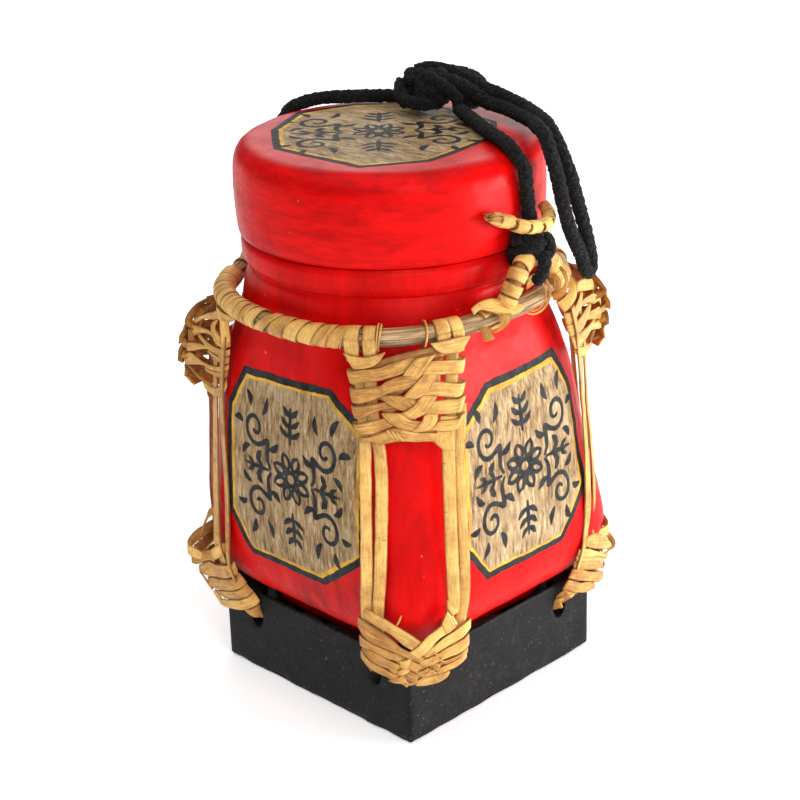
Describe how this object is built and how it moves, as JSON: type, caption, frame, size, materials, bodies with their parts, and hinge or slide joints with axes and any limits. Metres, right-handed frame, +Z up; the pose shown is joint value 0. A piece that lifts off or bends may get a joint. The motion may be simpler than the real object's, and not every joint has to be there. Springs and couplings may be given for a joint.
{
  "type": "lidded rice box",
  "caption": "Lidded wooden rice box, square at the foot and round at the mouth, on a square plinth, with a split-rattan corner harness and a carrying cord.",
  "frame": {"origin": "centre of the plinth's underside", "axes": "+Z up, X and Y square to the plinth's faces; the cord's collar eyes are on the +X and -X sides"},
  "size_m": [0.1567, 0.1496, 0.2599],
  "materials": {
    "black_wood": "matte",
    "red_lacquer": "satin",
    "bare_wood": "satin",
    "cane": "satin",
    "split_rattan": "satin",
    "black_cord": "matte"
  },
  "bodies": {
    "root": {"base_plinth": "black_wood", "body_shell": "red_lacquer", "mouth_ring": "bare_wood", "shoulder_hoop": "cane", "corner_weave_front": "split_rattan", "corner_strip_front_1": "split_rattan", "corner_strip_front_2": "split_rattan", "corner_strip_front_3": "split_rattan", "corner_strip_front_4": "split_rattan", "base_lashing_front": "split_rattan", "hoop_strap_front_1": "split_rattan", "hoop_strap_front_2": "split_rattan", "corner_weave_right": "split_rattan", "corner_strip_right_1": "split_rattan", "corner_strip_right_2": "split_rattan", "corner_strip_right_3": "split_rattan", "corner_strip_right_4": "split_rattan", "base_lashing_right": "split_rattan", "hoop_strap_right_1": "split_rattan", "hoop_strap_right_2": "split_rattan", "corner_weave_back": "split_rattan", "corner_strip_back_1": "split_rattan", "corner_strip_back_2": "split_rattan", "corner_strip_back_3": "split_rattan", "corner_strip_back_4": "split_rattan", "base_lashing_back": "split_rattan", "hoop_strap_back_1": "split_rattan", "hoop_strap_back_2": "split_rattan", "corner_weave_left": "split_rattan", "corner_strip_left_1": "split_rattan", "corner_strip_left_2": "split_rattan", "corner_strip_left_3": "split_rattan", "corner_strip_left_4": "split_rattan", "base_lashing_left": "split_rattan", "hoop_strap_left_1": "split_rattan", "hoop_strap_left_2": "split_rattan", "hoop_binding_front": "split_rattan", "hoop_binding_back": "split_rattan", "collar_eye_right": "split_rattan", "eye_knot_right": "black_cord", "collar_eye_left": "split_rattan", "eye_knot_left": "black_cord"},
    "lid": {"lid_shell": "red_lacquer", "lid_loop_right": "split_rattan", "lid_loop_left": "split_rattan", "top_knot": "black_cord", "cord_right": "black_cord", "cord_left": "black_cord"},
    "carry_loop": {"carry_loop": "black_cord"}
  },
  "joints": [
    {"name": "lid_lift", "type": "slide", "parent": "root", "child": "lid", "axis": [0, 0, 1], "range_m": [0, 0.05]},
    {"name": "carry_loop_raise", "type": "hinge", "parent": "lid", "child": "carry_loop", "pos_m": [0.002, 0.0385, 0.25], "axis": [0, -1, 0], "range_deg": [0, 80]}
  ]
}
